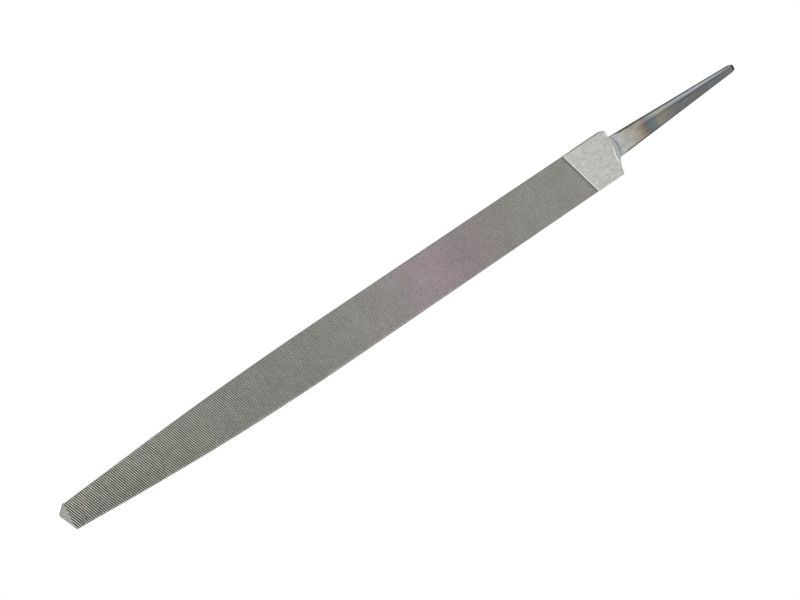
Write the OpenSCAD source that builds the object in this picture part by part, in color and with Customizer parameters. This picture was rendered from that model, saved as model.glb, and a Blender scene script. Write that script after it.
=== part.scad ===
// Single-cut flat file with a bare tang, for a handle to be driven onto.
//
// The whole file is one bar of steel. Its four zones are drawn apart, face to face:
// the point, the toothed blade, the ground heel and the tang.
//
// The X axis is the centre line of the tang and runs towards the point. The origin is
// at the root of the tang, between the shoulders and halfway through the thickness.
// The Z axis stands on the upper face. The edge at +Y is called the front edge here.

/* [Body] */
// Length from the shoulders to the point
body_len = 254; // [200:1:320]
// Width of the parallel part
body_w = 19.5; // [16:0.5:26]
// Thickness over the tooth crests of the parallel part
body_t = 4; // [3.4:0.1:6]
// How far each face is hollow along the parallel part, so that it lies steady
hollow = 0.02; // [0.01:0.01:0.05]
// Sideways step from the centre line of the tang to that of the body
body_shift = 1.3; // [0:0.1:2]

/* [Taper towards the point] */
// Length over which the width and the thickness taper
belly_len = 115; // [90:1:140]
// Length next to the point where both edges run straight
nose_len = 31; // [20:1:60]
// Radius of each edge between the nose and the parallel part
belly_r = 1290; // [1200:10:2000]
// Share of the taper that the front edge takes, the back edge taking the rest
front_share = 0.59; // [0.4:0.01:0.6]
// Thickness over the tooth crests at the point
point_t = 2.5; // [2.2:0.1:3.2]

/* [Point] */
// Length of the uncut bevel
point_len = 3; // [2.8:0.1:5]
// Slope of the bevel on each face
bevel_angle = 6; // [2:1:12]
// Angle of the clipped back corner to the length
clip_angle = 42; // [30:1:50]
// Angle of the end edge to a square end
end_angle = 19; // [5:1:22]
// Radius where the clipped corner meets the end edge
nose_r = 0.7; // [0.3:0.1:1.2]

/* [Teeth] */
// Distance from tooth to tooth, measured along the blade
pitch = 0.77; // [0.7:0.01:1.6]
// Depth of the gullet below the crest
tooth_depth = 0.3; // [0.2:0.02:0.4]
// Angle of the rows to a square cut
tooth_angle = 16.5; // [0:0.5:25]
// Share of the pitch taken by the steep front of a tooth
front_part = 0.22; // [0.1:0.02:0.4]

/* [Heel] */
// Length from the shoulders to the first row of teeth, on the centre line
heel_len = 18.3; // [15:0.1:25]
// Thickness of the uncut heel
heel_t = 3.9; // [3.2:0.1:5.8]
// Distance that the front shoulder lies nearer the point than the back one
shoulder_step = 1.9; // [1:0.1:3]
// Radius of the corner of the back shoulder
back_r = 1.1; // [0.2:0.1:1.5]
// Radius of the corner of the front shoulder
front_r = 0.6; // [0.2:0.1:1.5]
// Radius of the hollow curve in the front shoulder
hollow_r = 5; // [2:0.5:6]
// Radius between the back shoulder and the tang
root_r = 0.5; // [0.2:0.1:0.8]

/* [Tang] */
// Length from the shoulders to the end of the tang
tang_len = 66; // [50:1:90]
// Width at the root
root_w = 9.3; // [8:0.1:11]
// Width at the end
end_w = 3.1; // [2.5:0.1:5]
// Thickness at the root
root_t = 3.4; // [2.8:0.1:3.8]
// Thickness at the end
end_t = 2.1; // [1.8:0.1:2.6]
// Distance that the forged step bulges over the root of the tang
step_bulge = 1.2; // [0.4:0.1:2]
// Share of the width left flat beside the long bevel
flat_share = 0.71; // [0.6:0.01:0.85]
// Slope of the long bevel
tang_bevel = 18; // [8:1:24]
// Distance from the shoulders at which the long bevel starts
bevel_start = 12; // [8:1:20]

/* [Hidden] */
// Straight pieces in each curved stretch of an outline
steps = 8;
// Ample size for what is cut to shape afterwards
ample = 2 * body_len;
// Where each zone of the length begins
belly_x = body_len - belly_len;
nose_x = body_len - nose_len;
bevel_x = body_len - point_len;
// Where the hollow of the front shoulder turns: a share of the way from the tang to
// the corner along X, and a distance out from the front edge of the tang along Y
hollow_x = 0.37;
hollow_y = 1.8;
// Where the arc of the forged step meets the edges of the tang
step_x = -root_r - 0.1;
// Distance between neighbouring rows, square to the rows
row_gap = pitch * cos(tooth_angle);
// Distance from the origin to the first row, square to the rows
first_row = heel_len * cos(tooth_angle);
// Number of rows that reach past both corners of the point
rows = ceil((body_len + body_w * sin(tooth_angle) - first_row) / row_gap);

// Angle through which each edge has turned in from the parallel part at x
function turn(x) = asin(min(max(x - belly_x, 0), nose_x - belly_x) / belly_r);

// Width lost to the taper at x
function taper(x) =
    2 * belly_r * (1 - cos(turn(x))) + 2 * max(x - nose_x, 0) * tan(turn(nose_x));

function front_y(x) = body_shift + body_w / 2 - front_share * taper(x);
function back_y(x) = body_shift - body_w / 2 + (1 - front_share) * taper(x);

// Half of the thickness over the crests at x: a little hollow up to the belly, and
// then thinning towards the point
function half_t(x) =
    let (
        along = (x - heel_len) / (belly_x - heel_len),
        part = (x - belly_x) / belly_len
    )
    x < belly_x
        ? body_t / 2 - 4 * hollow * along * (1 - along)
        : (body_t - (body_t - point_t) * pow(part, 2)) / 2;

function unit(v) = v / norm(v);

// Points of the arc of radius r that rounds the corner b between its neighbours a and c
function arc_at(a, b, c, r) =
    let (
        u = unit(a - b),
        w = unit(c - b),
        half = acos(u * w) / 2,
        centre = b + unit(u + w) * r / sin(half),
        first = b + u * r / tan(half) - centre,
        sweep = sign(cross(w, u)) * (180 - 2 * half)
    )
    [for (i = [0:steps])
        let (angle = atan2(first.y, first.x) + sweep * i / steps)
        centre + r * [cos(angle), sin(angle)]];

// The outline through corners [x, y, radius], each rounded where its radius isn't 0
function rounded(corners) =
    let (
        n = len(corners),
        at = [for (c = corners) [c.x, c.y]]
    )
    [for (i = [0:n - 1])
        each corners[i].z == 0
            ? [at[i]]
            : arc_at(at[(i + n - 1) % n], at[i], at[(i + 1) % n], corners[i].z)];

// The arc of the forged step, from the back edge of the tang to its front edge
function step_arc() =
    [for (i = [0:steps])
        let (part = 2 * i / steps - 1)
        [step_x - step_bulge * (1 - part * part), part * root_w / 2, 0]];

// Corners of the tapered stretch of one edge, from x = from to x = to
function edge_places(from, to) = [for (i = [0:steps]) from + (to - from) * i / steps];

function back_edge() = [for (x = edge_places(belly_x, nose_x)) [x, back_y(x), 0]];
function front_edge() = [for (x = edge_places(nose_x, belly_x)) [x, front_y(x), 0]];

// Where the clipped corner and the end edge would meet if the nose weren't rounded
clip_y = back_y(bevel_x) + point_len * tan(clip_angle);
end_x = body_len - (front_y(body_len) - clip_y) * tan(end_angle);

body_corners = concat(
    [[0, back_y(0), back_r]],
    back_edge(),
    [
        [bevel_x, back_y(bevel_x), 0],
        [body_len, clip_y, nose_r],
        [end_x, front_y(end_x), 0]
    ],
    front_edge(),
    [
        [shoulder_step, front_y(0), front_r],
        [shoulder_step * hollow_x, root_w / 2 + hollow_y, hollow_r]
    ],
    [for (i = [0:steps]) step_arc()[steps - i]],
    [[0, -root_w / 2, root_r]]
);

// The whole body seen from above, cut between two places along its length
module body_plan(from, to) {
    intersection() {
        linear_extrude(height = 2 * body_t, center = true)
            polygon(rounded(body_corners));
        translate([from, -ample / 2, -ample / 2])
            cube([to - from, ample, ample]);
    }
}

// One half of the thickness, drawn square to the rows of teeth. The other half is the
// same shape after half a turn about the centre line of the body.
module half_slab(profile) {
    rotate([0, 0, tooth_angle])
        rotate([90, 0, 0])
            linear_extrude(height = ample, center = true)
                polygon(profile);
}

module both_halves(profile) {
    translate([0, body_shift, 0]) {
        half_slab(profile);
        rotate([180, 0, 0])
            half_slab(profile);
    }
}

// Crest and gullet of each row of teeth, from the heel to the point
function row_at(i) = first_row + i * row_gap;
function crest_z(i) = i == 0 ? heel_t / 2 : half_t(row_at(i) / cos(tooth_angle));

tooth_profile = concat(
    [[first_row, 0]],
    [for (i = [0:rows])
        each [
            [row_at(i), crest_z(i)],
            [row_at(i) + front_part * row_gap, crest_z(i) - tooth_depth]
        ]],
    [[row_at(rows) + front_part * row_gap, 0]]
);

heel_profile = [
    [-ample, 0],
    [first_row, 0],
    [first_row, heel_t / 2],
    [-ample, heel_t / 2]
];

// The uncut bevelled end
module point() {
    drop = point_len * tan(bevel_angle);
    z = half_t(bevel_x);
    color("gainsboro")
        intersection() {
            body_plan(bevel_x, body_len + 1);
            rotate([90, 0, 0])
                linear_extrude(height = ample, center = true)
                    polygon([
                        [bevel_x, -z],
                        [body_len, drop - z],
                        [body_len, z - drop],
                        [bevel_x, z]
                    ]);
        }
}

// The cut length, with its rows of teeth on both faces
module blade() {
    color("darkgray")
        intersection() {
            body_plan(heel_len / 2, bevel_x);
            both_halves(tooth_profile);
        }
}

// The ground length between the teeth and the shoulders
module heel() {
    color("lightgray")
        intersection() {
            body_plan(-heel_len, 2 * heel_len);
            both_halves(heel_profile);
        }
}

// What the long bevel takes off the upper back corner of the tang. Its root end runs
// out in a short ramp.
module bevel_cut() {
    ridge = (flat_share - 0.5) * root_w;
    lean = atan((flat_share - 0.5) * (root_w - end_w) / tang_len);
    fall = atan((root_t - end_t) / 2 / tang_len);
    translate([0, -ridge, root_t / 2])
        rotate([tang_bevel, -fall, -lean])
            rotate([90, 0, 0])
                linear_extrude(height = ample)
                    polygon([
                        [-ample, 0],
                        [-bevel_start - 2 * root_t, 0],
                        [-bevel_start, root_t],
                        [-ample, root_t]
                    ]);
}

// The tapered spike that a handle is driven onto
module tang() {
    end_corner = 0.4 * end_w;
    plan = rounded(concat(
        step_arc(),
        [
            [-tang_len, end_w / 2, end_corner],
            [-tang_len, -end_w / 2, end_corner]
        ]
    ));
    color("slategray")
        difference() {
            intersection() {
                linear_extrude(height = root_t, center = true)
                    polygon(plan);
                rotate([90, 0, 0])
                    linear_extrude(height = ample, center = true)
                        polygon([
                            [0, -root_t / 2],
                            [0, root_t / 2],
                            [-tang_len, end_t / 2],
                            [-tang_len, -end_t / 2]
                        ]);
            }
            bevel_cut();
            rotate([180, 0, 0])
                bevel_cut();
        }
}

point();
blade();
heel();
tang();
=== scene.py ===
# %% [markdown]
# # A single-cut flat file
#
# A file is one bar of hard steel. The maker forges a blank with a tang for the handle, grinds it,
# cuts the rows of teeth with a chisel, hardens it, and draws the temper of the tang, which leaves
# its heat colours behind. This lesson follows that order in Blender: the shapes first, then the
# finish of each zone, then the light and the camera.
#
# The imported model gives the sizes. It comes in as a fixed frame that nothing here moves. Four
# detailed pieces stand in for its four zones: the point, the blade, the heel and the tang.

# %% The frame
import math

import bmesh
import bpy
from mathutils import Matrix, Vector


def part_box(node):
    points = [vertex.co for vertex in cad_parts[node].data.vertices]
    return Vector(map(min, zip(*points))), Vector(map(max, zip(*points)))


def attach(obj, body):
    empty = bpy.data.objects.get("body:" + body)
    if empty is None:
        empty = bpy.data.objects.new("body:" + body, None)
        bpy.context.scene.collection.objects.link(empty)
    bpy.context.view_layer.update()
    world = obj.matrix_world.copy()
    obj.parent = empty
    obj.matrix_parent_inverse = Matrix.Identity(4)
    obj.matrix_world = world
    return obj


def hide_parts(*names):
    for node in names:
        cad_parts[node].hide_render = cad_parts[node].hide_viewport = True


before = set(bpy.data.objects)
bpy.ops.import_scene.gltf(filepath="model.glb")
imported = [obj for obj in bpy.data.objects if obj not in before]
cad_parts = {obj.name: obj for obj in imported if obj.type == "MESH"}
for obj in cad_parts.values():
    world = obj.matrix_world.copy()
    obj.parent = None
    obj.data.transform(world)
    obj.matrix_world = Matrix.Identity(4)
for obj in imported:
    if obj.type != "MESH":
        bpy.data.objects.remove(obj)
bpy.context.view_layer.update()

print("zones:", sorted(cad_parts))

# %% [markdown]
# ## The sizes of the blank
#
# Everything is in metres. What the frame can tell is read from its boxes. The rest are the sizes
# that a maker would write on the drawing of this file: where the belly begins, how round it is, how
# thick the end is left, and how the teeth are spaced. The X axis runs from the tang to the point,
# and Z stands on the upper face.

# %% Sizes
mm = 0.001

body_len = 254 * mm
body_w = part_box("heel")[1].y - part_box("heel")[0].y
body_shift = (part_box("heel")[1].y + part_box("heel")[0].y) / 2
body_t = 2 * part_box("blade")[1].z
heel_t = 2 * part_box("heel")[1].z
tang_len = -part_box("tang")[0].x
root_w = 2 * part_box("tang")[1].y
root_t = 2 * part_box("tang")[1].z

hollow = 0.02 * mm
belly_len = 115 * mm
nose_len = 31 * mm
point_len = 3 * mm
belly_x = body_len - belly_len
nose_x = body_len - nose_len
bevel_x = body_len - point_len
belly_r = 1290 * mm
front_share = 0.59
point_t = 2.5 * mm
bevel_angle = math.radians(6)
clip_angle = math.radians(42)
end_angle = math.radians(19)

pitch = 0.77 * mm
tooth_depth = 0.3 * mm
tooth_angle = math.radians(16.5)
heel_len = 18.3 * mm
row_gap = pitch * math.cos(tooth_angle)
first_row = heel_len * math.cos(tooth_angle)
rows = math.ceil((body_len + body_w * math.sin(tooth_angle) - first_row) / row_gap)

shoulder_step = 1.9 * mm
step_bulge = 1.2 * mm
step_x = -0.6 * mm
end_w = 3.1 * mm
end_t = 2.1 * mm

print(f"body {body_len / mm:.1f} x {body_w / mm:.1f} x {body_t / mm:.1f} mm, {rows} rows")

# %% [markdown]
# ## The taper
#
# Seen from above, the two long edges run parallel, then turn in on a very large radius, and end
# straight. The front edge takes a little more of the taper than the back one. The thickness goes
# down over the same length, slowly at first. Four small functions hold these rules, so every piece
# that meets the taper agrees about where it is.


# %% Rules of the taper
def turn(x):
    return math.asin(min(max(x - belly_x, 0), nose_x - belly_x) / belly_r)


def taper(x):
    curved = 2 * belly_r * (1 - math.cos(turn(x)))
    return curved + 2 * max(x - nose_x, 0) * math.tan(turn(nose_x))


def front_y(x):
    return body_shift + body_w / 2 - front_share * taper(x)


def back_y(x):
    return body_shift - body_w / 2 + (1 - front_share) * taper(x)


def half_t(x):
    if x < belly_x:
        along = (x - heel_len) / (belly_x - heel_len)
        return body_t / 2 - 4 * hollow * along * (1 - along)
    return (body_t - (body_t - point_t) * ((x - belly_x) / (body_len - belly_x)) ** 2) / 2


print(f"at the point: {(front_y(body_len) - back_y(body_len)) / mm:.1f} mm wide")

# %% [markdown]
# ## Drawing a line by hand
#
# A piece starts as an empty mesh. One corner is put down in it and pulled out to the next place, and
# so on, the way a line is drawn by hand. An operator acts on everything that is selected, so all
# else is deselected before a piece is worked on.


# %% Lines
def only(piece):
    """Makes one piece the active one, with nothing else selected."""
    if bpy.context.object and bpy.context.object.mode == "EDIT":
        bpy.ops.object.mode_set(mode="OBJECT")
    bpy.ops.object.select_all(action="DESELECT")
    piece.select_set(True)
    bpy.context.view_layer.objects.active = piece
    return piece


def begin(name):
    """Starts a piece as an empty mesh that is ready to be drawn in."""
    bpy.ops.object.select_all(action="DESELECT")
    bpy.ops.mesh.primitive_plane_add(size=mm)
    piece = bpy.context.object
    piece.name = name
    piece.data.name = name
    bpy.ops.object.mode_set(mode="EDIT")
    bpy.ops.mesh.delete(type="VERT")
    return piece


def draw_line(points):
    """Pulls a line out from one corner to the next, in the mesh being edited."""
    bpy.ops.mesh.select_mode(type="VERT")
    bpy.ops.mesh.select_all(action="DESELECT")
    bpy.ops.mesh.primitive_plane_add(size=mm, location=points[0])
    bpy.ops.mesh.merge(type="CENTER")
    for start, end in zip(points, points[1:]):
        step = Vector(end) - Vector(start)
        bpy.ops.mesh.extrude_region_move(TRANSFORM_OT_translate={"value": step})


# %% [markdown]
# ## Applying a modifier
#
# Blender works a modifier out anew each time the scene changes. Here each one is applied as soon as
# it is set, so the next step starts from its result.


# %% Modifiers
touching = 0.001 * mm


def apply(piece, kind, **settings):
    """Adds a modifier with its settings and applies it."""
    only(piece)
    modifier = piece.modifiers.new(kind.title(), kind)
    for name, value in settings.items():
        setattr(modifier, name, value)
    bpy.ops.object.modifier_apply(modifier=modifier.name)
    return piece


# %% [markdown]
# ## One stroke of the chisel
#
# The chisel is driven in at a slant, and it throws up a crest. Seen from the side, a tooth has a
# short steep front that faces the point, a small round gullet at its foot, and a long back that
# rises to the next crest. That profile is drawn once as a line, and the line is pulled sideways in
# short steps, so the row can be made uneven later. An Array then repeats the stroke along the bar,
# as the cutting machine does.

# %% The rows of teeth
reach = body_w / 2 + 1.5 * mm
row_steps = 15
slant = math.tan(tooth_angle)
profile = [
    (0.00, 0.00),
    (0.06, 0.34),
    (0.20, 0.93),
    (0.30, 1.00),
    (0.44, 0.84),
    (0.86, 0.14),
    (1.00, 0.00),
]

upper = begin("cut_blade")
draw_line(
    [
        (heel_len + along * pitch + reach * slant, body_shift - reach, -deep * tooth_depth)
        for along, deep in profile
    ]
)
bpy.ops.mesh.select_all(action="SELECT")
for step in range(row_steps):
    sideways = 2 * reach / row_steps
    bpy.ops.mesh.extrude_region_move(
        TRANSFORM_OT_translate={"value": (-sideways * slant, sideways, 0)}
    )
bpy.ops.object.mode_set(mode="OBJECT")
apply(
    upper,
    "ARRAY",
    count=rows,
    use_relative_offset=False,
    use_constant_offset=True,
    constant_offset_displace=(pitch, 0, 0),
    use_merge_vertices=True,
    merge_threshold=touching,
)
print("strokes of the chisel:", rows, "corners:", len(upper.data.vertices))

# %% [markdown]
# ## The hand of the cutter
#
# No two strokes are quite alike. Two Displace modifiers with cloud textures, one fine and one broad,
# shift the rows along the bar by up to about 0.2 millimetre, and another moves them up and down by
# up to 0.05. The clouds are worked out from a fixed rule, so the rows come out the same every time.
# A fourth Displace lifts the rows to the faces of the tapered bar: each corner's share of the lift
# is kept in a vertex group. The first row is set a little lower than the rest.

# %% Unevenness and taper
headroom = 0.05 * mm
first_row_drop = 0.14 * mm

for axis, size, strength in (("X", 2.2, 0.16), ("Z", 1.1, 0.1), ("X", 9.0, 0.2)):
    clouds = bpy.data.textures.new("cutter", "CLOUDS")
    clouds.noise_scale = size * mm
    clouds.noise_depth = 1
    apply(
        upper,
        "DISPLACE",
        texture=clouds,
        texture_coords="LOCAL",
        direction=axis,
        mid_level=0.5,
        strength=strength * mm,
    )

thinning = upper.vertex_groups.new(name="thinning")
most = body_t / 2
for corner in upper.data.vertices:
    along = corner.co.x * math.cos(tooth_angle)
    along += (corner.co.y - body_shift) * math.sin(tooth_angle)
    level = half_t(along / math.cos(tooth_angle)) - headroom
    if along < first_row + 0.9 * row_gap:
        level -= first_row_drop
    thinning.add([corner.index], level / most, "REPLACE")
apply(
    upper,
    "DISPLACE",
    direction="Z",
    mid_level=0,
    strength=most,
    vertex_group="thinning",
)
upper.vertex_groups.clear()
print(f"highest crest {max(v.co.z for v in upper.data.vertices) / mm:.3f} mm")

# %% [markdown]
# ## Closing and measuring a mesh
#
# A finished piece is closed, and its faces point outwards. One helper turns them outwards. Another
# prints how large the mesh is and counts the edges that are open or join too many faces.


# %% Closed meshes
def outward():
    """Turns all faces of the mesh being edited outwards and goes back to the object."""
    bpy.ops.mesh.select_all(action="SELECT")
    bpy.ops.mesh.normals_make_consistent(inside=False)
    bpy.ops.object.mode_set(mode="OBJECT")


def report(piece):
    """Prints the size of a mesh, and how many of its edges don't join exactly two faces."""
    form = bmesh.new()
    form.from_mesh(piece.data)
    faulty = sum(not edge.is_manifold for edge in form.edges)
    volume = form.calc_volume() / mm**3
    triangles = sum(len(face.verts) - 2 for face in form.faces)
    form.free()
    print(f"{piece.name}: {triangles} triangles, {faulty} faulty edges, {volume:.0f} cubic mm")


# %% [markdown]
# ## From rows to a toothed slab
#
# So far the rows are only a skin. Its rim is pulled down, pressed flat on the middle plane and
# filled, which makes a closed slab. The underside of a file is cut in a second pass after the bar
# is turned over, so the lower half is a copy of the slab, turned half a turn about the centre line
# of the body.

# %% Closing the slab and turning its copy over
only(upper)
bpy.ops.object.mode_set(mode="EDIT")
bpy.ops.mesh.select_mode(type="EDGE")
bpy.ops.mesh.select_all(action="DESELECT")
bpy.ops.mesh.select_non_manifold(
    extend=False,
    use_wire=False,
    use_boundary=True,
    use_multi_face=False,
    use_non_contiguous=False,
    use_verts=False,
)
bpy.ops.mesh.extrude_region_move(TRANSFORM_OT_translate={"value": (0, 0, -mm)})
bpy.ops.transform.resize(value=(1, 1, 0), center_override=(0, 0, 0))
bpy.ops.mesh.edge_face_add()
outward()

bpy.ops.object.duplicate(linked=False)
lower = only(bpy.context.object)
bpy.ops.object.mode_set(mode="EDIT")
bpy.ops.mesh.select_all(action="SELECT")
bpy.ops.transform.rotate(value=math.pi, orient_axis="X", center_override=(0, body_shift, 0))
bpy.ops.object.mode_set(mode="OBJECT")
report(upper)

# %% [markdown]
# ## Prisms and Booleans
#
# A closed line that is filled and pulled up is a prism, which suits plates and cutting tools. A
# Boolean modifier then joins two pieces, or cuts or crops one with the other.


# %% Prisms and Booleans
def prism(name, outline, low, high):
    """Draws an outline, fills it and pulls it up."""
    piece = begin(name)
    draw_line([(x, y, low) for x, y in outline])
    bpy.ops.mesh.select_all(action="SELECT")
    bpy.ops.mesh.edge_face_add()
    bpy.ops.mesh.extrude_region_move(TRANSFORM_OT_translate={"value": (0, 0, high - low)})
    outward()
    return piece


def carve(piece, tool, operation):
    """Joins, cuts or crops a piece with another one, which is used up."""
    apply(piece, "BOOLEAN", object=tool, operation=operation, solver="MANIFOLD")
    bpy.data.objects.remove(tool)
    return piece


# %% [markdown]
# ## Where the rows end
#
# The rows slant across the blade. At the free end they stop at a straight line that leans a little,
# and at the front edge that line lies just past the corner. So the last rows run out over the end
# edge there, beside the bare point. The number over_y says where the line crosses the end edge.


# %% The end of the rows
clip_y = back_y(bevel_x) + (body_len - bevel_x) * math.tan(clip_angle)
end_x = body_len - (front_y(body_len) - clip_y) * math.tan(end_angle)
facet_lean = 0.15
overrun = 0.55 * mm
over_y = body_len - end_x - overrun
over_y = over_y + clip_y * math.tan(end_angle) + front_y(bevel_x) * facet_lean
over_y /= math.tan(end_angle) + facet_lean
print(f"the line where the rows end crosses the end edge at y = {over_y / mm:.2f} mm")


def crest_x(row, y):
    """Where the crest of a row, counted in rows from the first, crosses a line along the bar."""
    across = (y - body_shift) * math.sin(tooth_angle)
    return (first_row + row * row_gap - across) / math.cos(tooth_angle)


def facet_x(y):
    """Where the rows end and the bare point begins, for a line along the bar."""
    return end_x + overrun - (front_y(bevel_x) - y) * facet_lean


# %% [markdown]
# ## The plan of the blade
#
# The narrow edges of a flat file are cut too, with upright grooves. They are drawn into the plan:
# at each row the outline steps in by the depth of a groove and comes back out. Cropping both slabs
# with this plan trims the rows to the taper and leaves the grooves on the edges at once.


# %% Cropping the slabs
edge_depth = 0.34 * mm
spare_rows = 12
groove = ((0, 0), (0.24, 0.95), (0.4, 0.9))
last_groove = 0.05 * mm


def notched(edge, inward, y_start):
    """The corners of one narrow edge, from the heel to the point."""
    corners = []
    for row in range(-spare_rows, rows + spare_rows):
        for along, deep in groove:
            x = crest_x(row + along, y_start)
            y = edge(x) + inward * deep * edge_depth
            if heel_len / 2 < x < min(facet_x(y), end_x) - last_groove:
                corners.append((x, y))
    return corners


back_line = notched(back_y, 1, back_y(0))
back_line.append((facet_x(back_y(bevel_x)), back_y(facet_x(back_y(bevel_x)))))
back_line.append((facet_x(over_y), over_y))
front_line = notched(front_y, -1, front_y(0)) + [(end_x, front_y(end_x))]
for half in (upper, lower):
    plan = prism("plan", back_line + front_line[::-1], -body_t, body_t)
    carve(half, plan, "INTERSECT")
    report(half)
blade = carve(upper, lower, "UNION")
report(blade)

# %% [markdown]
# ## Rounded corners
#
# A corner of an outline is rounded with an arc that touches both of its sides. An edge of a solid
# is softened with a Bevel modifier, because a real edge is never perfectly sharp, and its narrow
# bevel is what catches the light.


# %% Rounded corners
def rounded(corners, steps=8):
    """The outline through corners (x, y, radius), with an arc at each corner that has a radius."""
    outline = []
    for i, (x, y, radius) in enumerate(corners):
        here = Vector((x, y))
        if radius == 0:
            outline.append((x, y))
            continue
        back = (Vector(corners[i - 1][:2]) - here).normalized()
        ahead = (Vector(corners[(i + 1) % len(corners)][:2]) - here).normalized()
        half = back.angle(ahead) / 2
        centre = here + (back + ahead).normalized() * radius / math.sin(half)
        first = here + back * radius / math.tan(half) - centre
        sweep = math.copysign(math.pi - 2 * half, ahead.cross(back))
        for step in range(steps + 1):
            spot = centre + Matrix.Rotation(sweep * step / steps, 2) @ first
            outline.append((spot.x, spot.y))
    return outline


def soften(piece, width, segments, degrees):
    """Rounds every edge at which the surface turns by more than an angle."""
    apply(
        piece,
        "BEVEL",
        width=width,
        segments=segments,
        limit_method="ANGLE",
        angle_limit=math.radians(degrees),
    )


# %% [markdown]
# ## The point
#
# About the last three millimetres are left uncut. The grinder takes the end down at a shallow slope
# on both faces, clips one corner and rounds the nose. The plan is a prism, and Bisect cuts the two
# slopes and fills them.

# %% The point
nose_r = 0.7 * mm
back_corner = facet_x(back_y(bevel_x))
point = prism(
    "ground_point",
    rounded(
        [
            (back_corner, back_y(back_corner), 0),
            (bevel_x, back_y(bevel_x), 0),
            (body_len, clip_y, nose_r),
            (facet_x(over_y), over_y, 0),
        ]
    ),
    -body_t,
    body_t,
)
only(point)
bpy.ops.object.mode_set(mode="EDIT")
for side in (1, -1):
    bpy.ops.mesh.select_all(action="SELECT")
    bpy.ops.mesh.bisect(
        plane_co=(bevel_x, 0, side * half_t(bevel_x)),
        plane_no=(math.sin(bevel_angle), 0, side * math.cos(bevel_angle)),
        use_fill=True,
        clear_outer=True,
        threshold=0.0001 * mm,
    )
outward()
soften(point, 0.12 * mm, 2, 30)
report(point)

# %% [markdown]
# ## The heel
#
# Between the teeth and the shoulders the bar is ground flat. Near the tang the grinding runs out on
# a curve, and the forged shoulder falls away behind it. This shape is lofted: lines that run across
# the bar are drawn at the first row, at the start and the end of the flat and along the shoulders,
# on the upper face and the lower one, and then they are bridged. The outline of the shoulders gives
# the number of corners in every line.

# %% Outline of the shoulders
back_side = body_shift - body_w / 2
front_side = body_shift + body_w / 2


def step_curve(part):
    """The forged step between heel and tang, from part -1 at its back edge to 1 at its front."""
    return step_x - step_bulge * (1 - part * part), part * root_w / 2


step_parts = [i / 6 - 1 for i in range(13)]
crossing = 2 * body_shift / root_w
shoulders_end = 4 * mm
beyond = 5 * mm
shoulders = rounded(
    [
        (beyond, front_side, 0),
        (shoulder_step, front_side, 0.6 * mm),
        (0.37 * shoulder_step, root_w / 2 + 1.8 * mm, 5 * mm),
        (step_x, root_w / 2, 0),
        (step_x, -root_w / 2, 0),
        (0, -root_w / 2, 0.5 * mm),
        (0, back_side, 1.1 * mm),
        (beyond, back_side, 0),
    ]
)
shoulders = [corner for corner in shoulders if step_x < corner[0] < shoulders_end]
front_part = [corner for corner in shoulders if corner[1] > 0]
back_part = [corner for corner in shoulders if corner[1] < 0]
across_step = sorted(step_parts + [crossing], reverse=True)
shoulder_line = front_part + [step_curve(part) for part in across_step] + back_part
print("corners across the heel:", len(shoulder_line))

# %% [markdown]
# ## Lofts
#
# Lines that lie side by side and are bridged make a lofted body, which suits forged shapes. The
# corners that a bridge needs are picked by their number. A smooth step from 0 to 1 blends one shape
# into the next.


# %% Lofts
def pick(chosen):
    """Selects the corners of the mesh being edited that the test chooses by number and place."""
    bpy.ops.mesh.select_mode(type="VERT")
    bpy.ops.mesh.select_all(action="DESELECT")
    form = bmesh.from_edit_mesh(bpy.context.object.data)
    for corner in form.verts:
        if chosen(corner.index, corner.co):
            corner.select_set(True)
    form.select_flush(True)
    bmesh.update_edit_mesh(bpy.context.object.data)


def loft(name, lines):
    """Bridges a ring of lines that all have as many corners, and fills both ends."""
    piece = begin(name)
    for line in lines:
        draw_line(line)
    count = len(lines[0])
    for i in range(len(lines)):
        pair = {i, (i + 1) % len(lines)}
        pick(lambda index, place: index // count in pair)
        bpy.ops.mesh.bridge_edge_loops()
    for end in (0, count - 1):
        pick(lambda index, place: index % count == end)
        bpy.ops.mesh.edge_face_add()
    bpy.ops.mesh.select_all(action="SELECT")
    bpy.ops.mesh.remove_doubles(threshold=touching)
    outward()
    return piece


def ease(value, low, high):
    """0 up to low, 1 from high on, and smooth in between."""
    part = min(max((value - low) / (high - low), 0), 1)
    return part * part * (3 - 2 * part)


# %% [markdown]
# ## Rolling off to the tang
#
# The flat ends about two millimetres before the step at the front and one at the back. Behind that
# curve the surface rolls off: first gently, then more steeply to the lip over the tang. The lip is
# lowest over the tang and runs out level at the two corners. The first rows of the two faces slant
# opposite ways and cross on the centre line, so the heel ends in a step on the middle plane, and the
# outline has a corner where the two rows cross.


# %% The heel
def flat_end(x, y):
    """Where the ground flat ends, for the corner of the shoulders at x, y."""
    curve = 0.15 * mm + 1.12 * mm * ease(y, -1.5 * mm, 3.5 * mm)
    curve += 0.5 * mm * ease(-y, 4.5 * mm, 6.5 * mm)
    return max(curve, x + 0.45 * mm)


def lip_z(y):
    """How far the lip over the tang lies from the middle plane."""
    middle = 1 - ease(abs(y), 3 * mm, 8 * mm)
    corner = ease(y, 8 * mm, 11 * mm) + ease(-y, 6.5 * mm, 8.4 * mm)
    return heel_t / 2 - 0.24 * mm - 0.16 * mm * middle + 0.16 * mm * corner


def row_end_x(side, y):
    """Where the first row of the upper face, side 1, or the lower one, side -1, crosses y."""
    return crest_x(0, body_shift + side * (y - body_shift))


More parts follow.
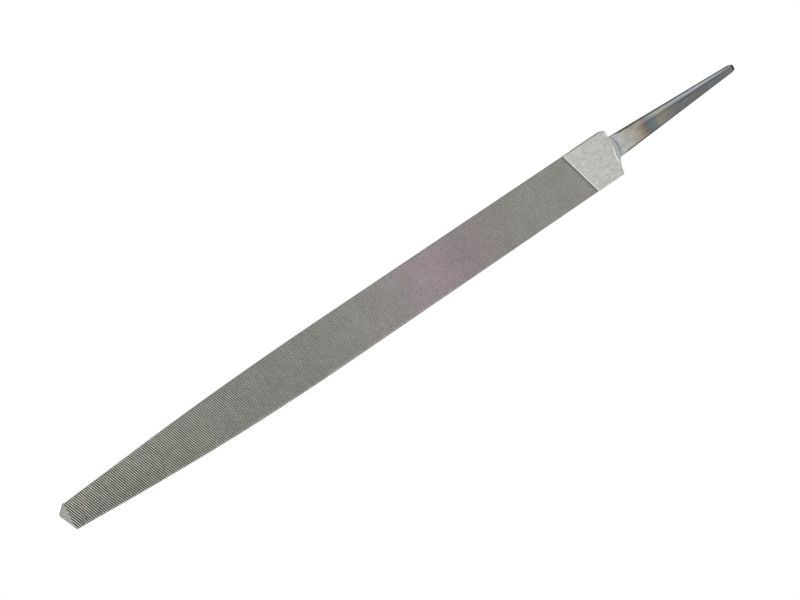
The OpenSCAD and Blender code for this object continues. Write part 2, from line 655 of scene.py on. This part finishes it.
lines = []
for side in (1, -1):
    top = side * heel_t / 2
    across = [
        [(row_end_x(side, y), y, 0) for x, y in shoulder_line],
        [(row_end_x(side, y), y, top - side * 0.02 * mm) for x, y in shoulder_line],
        [(row_end_x(side, y) - 0.15 * mm, y, top) for x, y in shoulder_line],
        [(row_end_x(side, y) - 0.7 * mm, y, top) for x, y in shoulder_line],
        [(flat_end(x, y) + 0.3 * mm, y, top) for x, y in shoulder_line],
        [(flat_end(x, y), y, top - side * 0.015 * mm) for x, y in shoulder_line],
        [
            (0.45 * x + 0.55 * flat_end(x, y), y, side * (0.4 * lip_z(y) + 0.3 * heel_t))
            for x, y in shoulder_line
        ],
        [(x, y, side * lip_z(y)) for x, y in shoulder_line],
    ]
    lines += across[::side]
heel = loft("ground_heel", lines)
report(heel)
soften(heel, 0.14 * mm, 2, 40)
report(heel)

# %% [markdown]
# ## The tang
#
# The tang is drawn out under the hammer. It tapers both ways, a long bevel takes off one corner of
# each face, and just behind the step the hammer has left a shallow dip. The bevel fades in between 9
# and 17 millimetres from the step, where cutting it out would leave a hard end. So this shape is
# lofted too, from lines that run along the bar, side by side across the upper face and then back
# across the lower one. The lower face is the upper one after half a turn.


# %% The tang
ridge_share = 0.21
bevel_slope = math.tan(math.radians(18))
dip_depth = 0.2 * mm
tang_places = [0, 0.6, 1.4, 2.6, 4.2, 6.5, 9, 11, 13, 15, 18, 22, 27, 33, 40, 48, 56]
tang_places += [61, 64.4, 65.5, 66]


def tang_point(place, part, side):
    """A corner of the tang: how far from the step in mm, which line across, which face."""
    far = place * mm / tang_len
    start_x = step_curve(part)[0]
    x = max(start_x * (1 - ease(place, 0, 12)) - place * mm, -tang_len)
    width = root_w + (end_w - root_w) * min(-x / tang_len, 1)
    thick = root_t + (end_t - root_t) * far
    tip = ease(place, 64.2, 66)
    width *= 1 - 0.3 * tip * tip
    ridge = (-ridge_share + 0.004 * math.sin(place * 0.7)) * width
    y = part * width / 2
    dip = dip_depth * math.exp(-(((place - 0.9) / 1.3) ** 2))
    drop = max(ridge - y, 0) * bevel_slope * ease(place, 9, 17)
    z = thick / 2 - dip - drop - 0.35 * mm * tip * tip
    return (x, side * y, side * z)


tang_lines = [
    [tang_point(place, part, side) for place in tang_places]
    for side in (1, -1)
    for part in step_parts
]
tang = loft("blued_tang", tang_lines)
report(tang)
soften(tang, 0.22 * mm, 3, 40)
report(tang)

# %% [markdown]
# ## Every piece takes its place
#
# The creases of ground steel stay crisp and the rounded edges between them are shaded smooth. Then
# each piece hangs from the body, and the zone of the frame that it stands for is hidden. There is one
# body, because the whole file is one bar.

# %% Placing the pieces
zones = (
    (point, "point", "ground_steel"),
    (blade, "blade", "cut_steel"),
    (heel, "heel", "ground_steel"),
    (tang, "tang", "blued_steel"),
)
for piece, node, slot in zones:
    only(piece)
    bpy.ops.object.shade_smooth_by_angle(angle=math.radians(14))
    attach(piece, "root")
    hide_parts(node)
    print(piece.name, "stands for", node)

# %% [markdown]
# ## Writing a finish as sums
#
# A finish is a net of nodes, and most of them only do sums. The class Signal wraps a socket so that
# ordinary Python sums add the Math nodes. Colours are written the way a display shows them and turned
# into the linear values that a shader takes.


# %% Signal
def tone(red, green, blue):
    """A display colour, 0 to 255, as the linear colour that a shader takes."""
    linear = [
        c / 255 / 12.92 if c < 11 else ((c / 255 + 0.055) / 1.055) ** 2.4
        for c in (red, green, blue)
    ]
    return (*linear, 1)


class Signal:
    """A socket that can be used in a sum."""

    def __init__(self, finish, socket):
        self.finish = finish
        self.socket = socket

    def __add__(self, other):
        return self.finish.maths("ADD", self, other)

    __radd__ = __add__

    def __sub__(self, other):
        return self.finish.maths("SUBTRACT", self, other)

    def __rsub__(self, other):
        return self.finish.maths("SUBTRACT", other, self)

    def __mul__(self, other):
        return self.finish.maths("MULTIPLY", self, other)

    __rmul__ = __mul__

    def __truediv__(self, other):
        return self.finish.maths("DIVIDE", self, other)

    def __abs__(self):
        return self.finish.maths("ABSOLUTE", self)


print("a display grey of 128 is", round(tone(128, 128, 128)[0], 3), "in a shader")

# %% [markdown]
# ## Writing a material
#
# The class Finish makes a material. One method adds any node from its type, its settings and its
# sockets, and the others are the steps that the finishes here share: a smooth rise, a band, a mix of
# two colours, colours along the bar, grain, and the metal that ends a finish.


# %% Finish
def fill_ramp(ramp, stops):
    """Gives a colour ramp its stops, each a position and a colour, in rising order."""
    ramp.elements.remove(ramp.elements[0])
    ramp.elements[0].position, ramp.elements[0].color = stops[0]
    for position, colour in stops[1:]:
        ramp.elements.new(position).color = colour


class Finish:
    """A material that is being written."""

    def __init__(self, name):
        self.material = bpy.data.materials.new(name)
        self.material.use_nodes = True
        self.tree = self.material.node_tree
        self.tree.nodes.clear()
        self.place = self.node("TexCoord", result="Object")
        self.x, self.y, self.z = (
            self.node("SeparateXYZ", sockets={0: self.place}, result=axis) for axis in "XYZ"
        )

    def node(self, kind, settings=None, sockets=None, result=0):
        """Adds a node: its settings first, then the values or links of its sockets."""
        node = self.tree.nodes.new("ShaderNode" + kind)
        for name, value in (settings or {}).items():
            if name == "stops":
                fill_ramp(node.color_ramp, value)
            else:
                setattr(node, name, value)
        for key, value in (sockets or {}).items():
            if isinstance(value, Signal):
                self.tree.links.new(value.socket, node.inputs[key])
            else:
                node.inputs[key].default_value = value
        return Signal(self, node.outputs[result]) if node.outputs else None

    def maths(self, operation, first, second=0.0):
        return self.node("Math", {"operation": operation}, {0: first, 1: second})

    def rise(self, value, low, high):
        """0 up to low, 1 from high on, and smooth in between; low may be above high."""
        return self.node(
            "MapRange",
            {"interpolation_type": "SMOOTHSTEP"},
            {"Value": value, "From Min": low, "From Max": high},
        )

    def band(self, value, centre, width):
        """1 at the centre, fading to 0 at the given width from it."""
        return self.rise(abs(value - centre), width, 0)

    def mix(self, share, low, high):
        """The low colour where the share is 0, and the high one where it is 1."""
        return self.node("Mix", {"data_type": "RGBA"}, {0: share, 6: low, 7: high}, result=2)

    def along(self, x, stops):
        """Display colours along the bar. The stops are places in mm, in rising order."""
        start, end = stops[0][0], stops[-1][0]
        ramp = [((place - start) / (end - start), tone(*colour)) for place, colour in stops]
        share = (x / mm - start) / (end - start)
        return self.node("ValToRGB", {"stops": ramp}, {0: share})

    def noise(self, size, stretch=(1, 1, 1), detail=2.0, shift=0.0):
        """Grain of a size in mm; an axis with a stretch of 20 has grain 20 times as long."""
        scale = [1 / (size * mm * s) for s in stretch]
        sockets = {0: self.place, "Location": (shift,) * 3, "Scale": scale}
        spot = self.node("Mapping", sockets=sockets)
        return self.node("TexNoise", sockets={"Vector": spot, "Scale": 1.0, "Detail": detail})

    def steel(self, colour, rough, height, depth, metal=1.0):
        """Ends the finish in a metal with a colour, a roughness and a relief of a depth in mm."""
        relief = {"Strength": 1.0, "Distance": depth * mm, "Height": height}
        sockets = {"Base Color": colour, "Roughness": rough, "Metallic": metal}
        sockets["Normal"] = self.node("Bump", sockets=relief)
        shader = self.node("BsdfPrincipled", sockets=sockets)
        self.node("OutputMaterial", sockets={"Surface": shader})
        return self.material


# The white of painted highlights and glints, and the dark of painted shade.
painted_glint_white = tone(250, 250, 246)
painted_shade_dark = tone(26, 26, 22)
print("bright steel is", [round(c, 2) for c in painted_glint_white[:3]], "in a shader")

# %% [markdown]
# ## The cut steel
#
# The finish of a tooth changes from its crest to its gullet. How deep a place lies under the crests
# is a sum of where it is on the bar, so the finish follows the teeth. The narrow edges have grooves
# of their own, so a mask for faces that stand upright, which is 1 on them, keeps the two apart.

# %% Masks of the teeth
cut = Finish("cut_steel")
past_belly = cut.maths("MAXIMUM", cut.x - belly_x, 0.0)
thinned = past_belly / (body_len - belly_x)
surface = body_t / 2 - thinned * thinned * ((body_t - point_t) / 2)
depth = (surface - abs(cut.z)) / tooth_depth
normal = cut.node("NewGeometry", result="True Normal")
level = cut.node("SeparateXYZ", sockets={0: normal}, result="Z")
flank = cut.rise(abs(level), 0.35, 0.1)
gullet = cut.rise(depth, 0.2, 0.8) * (1 - flank)
crest = cut.rise(depth, 0.3, 0.1)
print("the masks of the teeth take", len(cut.tree.nodes), "nodes")

# %% [markdown]
# After hardening, the teeth are blasted, which leaves an even matt grey. The hardening heat has left
# it a little greenish towards the point and faintly pink around the middle. The gullets are darkened
# with painted shade, and more so towards the point.

# %% The grey of the teeth
drift = cut.along(
    cut.x,
    [
        (18, (193, 192, 186)),
        (49, (191, 190, 185)),
        (64, (190, 185, 182)),
        (79, (195, 184, 188)),
        (93, (207, 193, 200)),
        (109, (202, 196, 195)),
        (125, (198, 196, 190)),
        (145, (190, 190, 184)),
        (180, (188, 189, 181)),
        (212, (211, 212, 198)),
        (254, (232, 233, 218)),
    ],
)
grain = cut.noise(0.35)
clouding = cut.noise(9, detail=3)
# Painted shade in the gullets, stronger towards the point.
gullet_shade_share = 0.2 + cut.rise(cut.x, 60 * mm, 160 * mm) * 0.22
gullet_shade_share = gullet_shade_share + cut.rise(cut.x, 160 * mm, 245 * mm) * 0.48
shade = cut.mix(gullet * gullet_shade_share, drift, painted_shade_dark)
print("colours along the teeth, now", len(cut.tree.nodes), "nodes")

# %% [markdown]
# The crests get a painted highlight, and here and there a fleck gets a painted glint. The gullet
# beside the first row gets a little painted shade.

# %% Crests and flecks
# Painted highlight on the crests.
shade = cut.mix(crest * cut.rise(grain, 0.35, 0.7) * (1 - flank) * 0.4, shade, tone(244, 243, 236))
# Painted glints on a few flecks.
sparkle_glints = cut.rise(cut.noise(0.5, detail=0, shift=2.0), 0.7, 0.78) * (1 - gullet) * (1 - flank)
shade = cut.mix(sparkle_glints * 0.7, shade, tone(252, 246, 238))
face = cut.maths("SIGN", cut.z)
from_first = cut.x - (heel_len - (cut.y - body_shift) * face * slant)
# Painted shade in the gullet beside the first row.
first_gullet_shade = cut.rise(from_first, 0.8 * mm, 0.4 * mm) * (1 - flank)
shade = cut.mix(first_gullet_shade * 0.1, shade, tone(44, 44, 44))
print("with crests and flecks,", len(cut.tree.nodes), "nodes")

# %% [markdown]
# The narrow edges get painted light, so they are brighter than the faces, and their grooves get
# painted shade. How far a place lies from each long edge is worked out from the taper that the plan
# was drawn with. Along the front edge the chisel has raised a row of small burrs, which get painted
# glints.

# %% Narrow edges and burrs
bend = cut.maths("MINIMUM", past_belly, nose_x - belly_x)
straight = cut.maths("MAXIMUM", cut.x - nose_x, 0.0)
narrowing = bend * bend / belly_r + straight * (2 * math.tan(turn(nose_x)))
from_front = front_side - narrowing * front_share - cut.y
from_back = cut.y - back_side - narrowing * (1 - front_share)
from_edge = cut.maths("MINIMUM", from_front, from_back)
# Painted light on the narrow edges, and painted shade in their grooves.
groove_shade = cut.rise(from_edge, 0.05 * mm, 0.9 * edge_depth) * flank
shade = cut.mix(flank * 0.7, shade, tone(244, 244, 238))
shade = cut.mix(groove_shade * 0.3, shade, painted_shade_dark)
# Painted sheen along the front edge, and painted glints on its burrs.
burr_sheen = cut.rise(from_front, 1.3 * mm, 0.8 * mm) * cut.rise(cut.x, 50 * mm, 110 * mm)
burr_sheen = burr_sheen * (1 - gullet) * (1 - flank)
shade = cut.mix(burr_sheen * 0.15, shade, painted_glint_white)
burr_glints = burr_sheen * cut.rise(grain, 0.5, 0.58) * cut.rise(from_front, 0.3 * mm, 0.4 * mm)
shade = cut.mix(burr_glints * 0.9, shade, painted_glint_white)
shade = cut.mix(cut.rise(clouding, 0.3, 0.75) * 0.12, shade, tone(120, 120, 112))
cut_steel = cut.steel(shade, 0.42 + grain * 0.16, grain, 0.012, 1 - burr_glints * 0.5)
print("cut steel has", len(cut.tree.nodes), "nodes")

# %% [markdown]
# ## The ground steel
#
# The heel and the point show bare steel from the grinding belt. Its scratches run along the bar, so
# the grain is stretched along X. A painted highlight lies where the flat rolls off towards the tang,
# and another beside the first row, where the chisel has pushed up the rim. Behind the roll-off the
# forged shoulder is a little darker and bluish.

# %% Ground steel
ground = Finish("ground_steel")
scratches = ground.noise(0.16, (26, 1, 1), detail=3)
stains = ground.noise(0.8, (1.6, 1, 1), detail=2, shift=3.0)
face = ground.maths("SIGN", ground.z)
flat_edge = 0.15 * mm + ground.rise(ground.y, -1.5 * mm, 3.5 * mm) * (1.12 * mm)
flat_edge = flat_edge + ground.rise(ground.y, -4.5 * mm, -6.5 * mm) * (0.5 * mm)
roll = ground.x - flat_edge
behind = ground.rise(roll, 0.2 * mm, -0.7 * mm)
# Painted highlight along the roll-off of the flat.
front_glint = ground.rise(ground.y, -1.2 * mm, 0.6 * mm) * ground.rise(ground.y, 7 * mm, 5 * mm)
back_glint = ground.band(ground.y, -6.4 * mm, 1.2 * mm)
glint = ground.band(roll, 0, 0.5 * mm) * (front_glint + back_glint)
# Painted highlight on the rim beside the first row.
rim = ground.x - (heel_len - (ground.y - body_shift) * face * slant)
lip = ground.rise(rim, -0.75 * mm, -0.45 * mm) * ground.rise(ground.x, 100 * mm, 40 * mm)
at_point = ground.rise(ground.x, 100 * mm, 200 * mm)
bright = ground.mix(at_point, tone(210, 210, 203), tone(186, 187, 178))
shade = ground.mix(ground.rise(scratches, 0.35, 0.65) * 0.45, bright, tone(150, 150, 145))
shade = ground.mix(ground.rise(stains, 0.45, 0.65) * 0.4, shade, tone(156, 160, 160))
shade = ground.mix(behind * 0.3, shade, tone(150, 158, 166))
shade = ground.mix(glint * 0.9 + lip * 0.3, shade, painted_glint_white)
ground_steel = ground.steel(shade, 0.3 + scratches * 0.2, scratches, 0.006)
print("ground steel has", len(ground.tree.nodes), "nodes")

# %% [markdown]
# ## The heat colours
#
# To soften the tang, the maker heats it from its end. The film of oxide grows thicker with the
# heat, so the colour goes from bare grey beside the heel through straw and brown to blue, and then
# to a dull grey scale. A colour ramp along the bar holds these colours, with a noise that makes
# their borders ragged. The marks of the hammer and fine streaks lie over them.

# %% Heat colours
blued = Finish("blued_steel")
ragged = blued.noise(3.0, detail=3)
hammered = blued.noise(1.1, (3, 1, 1), detail=3, shift=5.0)
streaks = blued.noise(0.2, (18, 1, 1), detail=2, shift=1.0)
heat = blued.along(
    blued.x + (ragged - 0.5) * (3 * mm),
    [
        (-66, (120, 121, 122)),
        (-46, (113, 115, 117)),
        (-34, (118, 118, 119)),
        (-30, (126, 125, 119)),
        (-27, (137, 135, 126)),
        (-24.5, (146, 141, 130)),
        (-22.3, (130, 130, 124)),
        (-20.3, (109, 121, 129)),
        (-18.6, (108, 112, 116)),
        (-16.8, (127, 112, 98)),
        (-15.0, (154, 140, 124)),
        (-12.5, (173, 164, 154)),
        (-9, (184, 180, 172)),
        (-4, (188, 188, 186)),
        (0, (172, 175, 180)),
    ],
)
shade = blued.mix(blued.rise(hammered, 0.35, 0.75) * 0.3, heat, tone(84, 86, 88))
shade = blued.mix(blued.rise(streaks, 0.5, 0.8) * 0.25, shade, tone(196, 198, 202))
print("heat colours and hammer marks take", len(blued.tree.nodes), "nodes")

# %% [markdown]
# The long bevel gets a painted sheen, so it is brighter than the face, and a line of painted shade
# runs beside its ridge. How far a place lies towards the bevel is a share of the width: 0 on the
# centre line and 0.5 at the edge. The sharp edges and the very end of the tang are darkened, and the
# foot of the step gets painted shade.

# %% The bevel and the edges of the tang
half_width = root_w / 2 + blued.x * ((root_w - end_w) / 2 / tang_len)
rim = blued.rise(abs(blued.y) / half_width, 0.82, 0.94) * blued.rise(blued.x, -2 * mm, -6 * mm)
outwards = blued.y * blued.maths("SIGN", blued.z) / (half_width * 2) * -1
clear = 0.5 + blued.rise(blued.x, -22 * mm, -44 * mm) * 0.5
clear = blued.rise(blued.x, -10 * mm, -22 * mm) * clear
clear = clear * (0.35 + blued.rise(blued.x, -63 * mm, -55 * mm) * 0.65)
# Painted sheen on the long bevel.
bevel_sheen = blued.rise(outwards, ridge_share, ridge_share + 0.05) * (1.05 - outwards * 1.5)
shade = blued.mix(bevel_sheen * clear, shade, tone(172, 180, 186))
# Painted shade in a line beside the ridge.
shade = blued.mix(blued.band(outwards, 0.13, 0.1) * clear * 0.5, shade, tone(66, 68, 70))
across = blued.y / (root_w / 2)
arch = 1 - across * across
# Painted shade at the foot of the step.
behind = blued.rise(blued.x - step_x + arch * step_bulge, -1.1 * mm, -0.2 * mm) * arch
shade = blued.mix(behind * 0.6, shade, tone(90, 92, 98))
tang_end_dark = blued.rise(blued.x, -64.5 * mm, -65.3 * mm)
shade = blued.mix(blued.maths("MAXIMUM", rim * 0.8, tang_end_dark), shade, tone(34, 35, 36))
blued_steel = blued.steel(shade, 0.34 + hammered * 0.2, hammered, 0.02)
print("blued steel has", len(blued.tree.nodes), "nodes")

# %% [markdown]
# ## Each piece gets its finish
#
# The slots are emptied first, so every piece ends with just one material.

# %% Giving each piece its finish
for piece, finish in (
    (point, ground_steel),
    (blade, cut_steel),
    (heel, ground_steel),
    (tang, blued_steel),
):
    piece.data.materials.clear()
    piece.data.materials.append(finish)
    print(piece.name, "wears", finish.name)

# %% [markdown]
# ## The table
#
# The file lies on a white table. The table gives off its own even white, so no shadow shows on it.
# It is kept out of the reflections and out of the light that falls on the file, so it doesn't light
# the file from below.

# %% Table
bpy.ops.object.select_all(action="DESELECT")
bpy.ops.mesh.primitive_plane_add(size=40, location=(body_len / 2, 0, -body_t / 2 - 0.01 * mm))
table = bpy.context.object
table.name = "table"
paper = Finish("white_table")
glow = paper.node("Emission", sockets={"Color": (1, 1, 1, 1), "Strength": 1.0})
paper.node("OutputMaterial", sockets={"Surface": glow})
table.data.materials.append(paper.material)
table.visible_diffuse = False
table.visible_glossy = False
print(f"the table is {(-body_t / 2 - table.location.z) / mm:.2f} mm below the file")

# %% [markdown]
# ## The sky
#
# Most of the light comes from the sky, as in a bright room. A ramp over the height of a direction
# makes it brightest some thirty degrees above the horizon, dimmer overhead and darkest below. So
# faces that lean differently are lit differently, and the rows can be seen.

# %% Sky
sky = bpy.data.worlds.new("studio")
bpy.context.scene.world = sky
sky.use_nodes = True
air = sky.node_tree
air.nodes.clear()
spot = air.nodes.new("ShaderNodeTexCoord")
height = air.nodes.new("ShaderNodeSeparateXYZ")
fade = air.nodes.new("ShaderNodeValToRGB")
glow = air.nodes.new("ShaderNodeBackground")
end = air.nodes.new("ShaderNodeOutputWorld")
air.links.new(spot.outputs["Generated"], height.inputs[0])
air.links.new(height.outputs["Z"], fade.inputs[0])
air.links.new(fade.outputs[0], glow.inputs[0])
air.links.new(glow.outputs[0], end.inputs[0])
sky_stops = (
    (0.0, (0.3, 0.3, 0.3, 1)),
    (0.2, (0.7, 0.7, 0.72, 1)),
    (0.45, (1.0, 1.0, 1.0, 1)),
    (0.75, (0.8, 0.8, 0.8, 1)),
    (1.0, (0.55, 0.55, 0.55, 1)),
)
fill_ramp(fade.color_ramp, sky_stops)
glow.inputs["Strength"].default_value = 1.0
print("the sky has", len(fade.color_ramp.elements), "stops")

# %% [markdown]
# ## The lamps
#
# Two weak, soft lamps add a little direction: a large one overhead, and a smaller, cooler one from
# the side of the tang. Both are aimed at the body.

# %% Lamps
for name, place, size, power, colour in (
    ("overhead", (0.0, 0.1, 0.9), 0.7, 1.0, (1, 0.995, 0.98)),
    ("side", (-0.5, -0.5, 0.5), 0.3, 1.0, (0.95, 0.98, 1)),
):
    bpy.ops.object.light_add(type="AREA", location=place)
    lamp = bpy.context.object
    lamp.name = name
    lamp.data.size = size
    lamp.data.energy = power
    lamp.data.color = colour
    aim = Vector((body_len / 3, 0, 0)) - Vector(place)
    lamp.rotation_euler = aim.to_track_quat("-Z", "Y").to_euler()
    print(name, "lamp,", power, "W")

# %% [markdown]
# ## The camera
#
# The camera looks almost straight down, with the tang at the upper right. The Standard view
# transform shows the colours as they were written.

# %% Camera
bpy.ops.object.camera_add(location=(237.6 * mm, -65.95 * mm, 470.1 * mm))
camera = bpy.context.object
camera.name = "camera"
camera.data.sensor_width = 36
camera.data.lens = 58.5
camera.rotation_euler = [math.radians(angle) for angle in (1.615, -17.238, 146.699)]
camera.data.clip_start = 0.01
bpy.context.scene.camera = camera
bpy.context.scene.view_settings.view_transform = "Standard"
print("camera stands", round(camera.location.length, 3), "m from the root of the tang")
